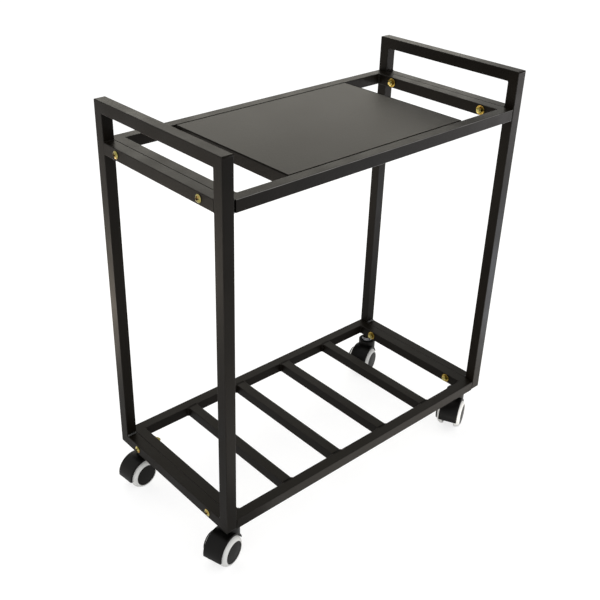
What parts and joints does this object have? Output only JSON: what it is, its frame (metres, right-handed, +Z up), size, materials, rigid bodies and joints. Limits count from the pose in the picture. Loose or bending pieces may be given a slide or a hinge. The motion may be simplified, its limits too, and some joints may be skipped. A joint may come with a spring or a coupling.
{
  "type": "battery trolley",
  "caption": "Two-shelf battery trolley of black square steel tube with a sheet top panel, slatted lower shelf, end handle bars and swivel twin-wheel casters.",
  "frame": {"origin": "on the floor, under the middle of the frame", "axes": "+X along the length to the right end, +Y from front to back, +Z up"},
  "size_m": [0.7209, 0.3429, 0.781],
  "materials": {
    "frame_paint": "satin black powder coat",
    "panel_paint": "satin black powder coat on sheet steel",
    "yellow_zinc": "yellow zinc plate",
    "bright_zinc": "bright zinc plate",
    "caster_nylon": "moulded black nylon",
    "wheel_nylon": "moulded black nylon",
    "pale_tread": "smooth pale grey polyurethane"
  },
  "bodies": {
    "frame": {"caster_lock_nuts": "frame_paint", "caster_stems": "bright_zinc", "caster_weld_nuts": "bright_zinc", "frame_bolts": "yellow_zinc", "frame_nuts": "yellow_zinc", "frame_washers": "yellow_zinc", "left_crossbar": "frame_paint", "left_front_post": "frame_paint", "left_handle_bar": "frame_paint", "left_lower_rail": "frame_paint", "left_rear_post": "frame_paint", "left_upper_rail": "frame_paint", "lower_front_rail": "frame_paint", "lower_left_end_rail": "frame_paint", "lower_rear_rail": "frame_paint", "lower_right_end_rail": "frame_paint", "right_crossbar": "frame_paint", "right_front_post": "frame_paint", "right_handle_bar": "frame_paint", "right_lower_rail": "frame_paint", "right_rear_post": "frame_paint", "right_upper_rail": "frame_paint", "slat_1": "frame_paint", "slat_2": "frame_paint", "slat_3": "frame_paint", "slat_4": "frame_paint", "top_panel": "panel_paint", "upper_front_rail": "frame_paint", "upper_left_end_rail": "frame_paint", "upper_rear_rail": "frame_paint", "upper_right_end_rail": "frame_paint"},
    "front_left_caster": {"front_left_caster_hood": "caster_nylon", "front_left_caster_axle": "bright_zinc"},
    "front_left_wheel_1_body": {"front_left_wheel_1": "wheel_nylon", "front_left_tread_1": "pale_tread"},
    "front_left_wheel_2_body": {"front_left_wheel_2": "wheel_nylon", "front_left_tread_2": "pale_tread"},
    "rear_left_caster": {"rear_left_caster_hood": "caster_nylon", "rear_left_caster_axle": "bright_zinc"},
    "rear_left_wheel_1_body": {"rear_left_wheel_1": "wheel_nylon", "rear_left_tread_1": "pale_tread"},
    "rear_left_wheel_2_body": {"rear_left_wheel_2": "wheel_nylon", "rear_left_tread_2": "pale_tread"},
    "front_right_caster": {"front_right_caster_hood": "caster_nylon", "front_right_caster_axle": "bright_zinc"},
    "front_right_wheel_1_body": {"front_right_wheel_1": "wheel_nylon", "front_right_tread_1": "pale_tread"},
    "front_right_wheel_2_body": {"front_right_wheel_2": "wheel_nylon", "front_right_tread_2": "pale_tread"},
    "rear_right_caster": {"rear_right_caster_hood": "caster_nylon", "rear_right_caster_axle": "bright_zinc"},
    "rear_right_wheel_1_body": {"rear_right_wheel_1": "wheel_nylon", "rear_right_tread_1": "pale_tread"},
    "rear_right_wheel_2_body": {"rear_right_wheel_2": "wheel_nylon", "rear_right_tread_2": "pale_tread"}
  },
  "joints": [
    {"name": "front_left_swivel", "type": "hinge", "parent": "frame", "child": "front_left_caster", "pos_m": [-0.314, -0.134, 0.0754], "axis": [0, 0, 1], "continuous": true},
    {"name": "front_left_wheel_1_spin", "type": "hinge", "parent": "front_left_caster", "child": "front_left_wheel_1_body", "pos_m": [-0.33371, -0.13965, 0.03], "axis": [0.2756, -0.9613, 0], "continuous": true},
    {"name": "front_left_wheel_2_spin", "type": "hinge", "parent": "front_left_caster", "child": "front_left_wheel_2_body", "pos_m": [-0.33371, -0.13965, 0.03], "axis": [0.2756, -0.9613, 0], "continuous": true},
    {"name": "rear_left_swivel", "type": "hinge", "parent": "frame", "child": "rear_left_caster", "pos_m": [-0.314, 0.134, 0.0754], "axis": [0, 0, 1], "continuous": true},
    {"name": "rear_left_wheel_1_spin", "type": "hinge", "parent": "rear_left_caster", "child": "rear_left_wheel_1_body", "pos_m": [-0.33442, 0.13221, 0.03], "axis": [0.0872, -0.9962, 0], "continuous": true},
    {"name": "rear_left_wheel_2_spin", "type": "hinge", "parent": "rear_left_caster", "child": "rear_left_wheel_2_body", "pos_m": [-0.33442, 0.13221, 0.03], "axis": [0.0872, -0.9962, 0], "continuous": true},
    {"name": "front_right_swivel", "type": "hinge", "parent": "frame", "child": "front_right_caster", "pos_m": [0.314, -0.134, 0.0754], "axis": [0, 0, 1], "continuous": true},
    {"name": "front_right_wheel_1_spin", "type": "hinge", "parent": "front_right_caster", "child": "front_right_wheel_1_body", "pos_m": [0.29542, -0.14266, 0.03], "axis": [0.4226, -0.9063, 0], "continuous": true},
    {"name": "front_right_wheel_2_spin", "type": "hinge", "parent": "front_right_caster", "child": "front_right_wheel_2_body", "pos_m": [0.29542, -0.14266, 0.03], "axis": [0.4226, -0.9063, 0], "continuous": true},
    {"name": "rear_right_swivel", "type": "hinge", "parent": "frame", "child": "rear_right_caster", "pos_m": [0.314, 0.134, 0.0754], "axis": [0, 0, 1], "continuous": true},
    {"name": "rear_right_wheel_1_spin", "type": "hinge", "parent": "rear_right_caster", "child": "rear_right_wheel_1_body", "pos_m": [0.29468, 0.12716, 0.03], "axis": [0.3338, -0.9426, 0], "continuous": true},
    {"name": "rear_right_wheel_2_spin", "type": "hinge", "parent": "rear_right_caster", "child": "rear_right_wheel_2_body", "pos_m": [0.29468, 0.12716, 0.03], "axis": [0.3338, -0.9426, 0], "continuous": true}
  ]
}
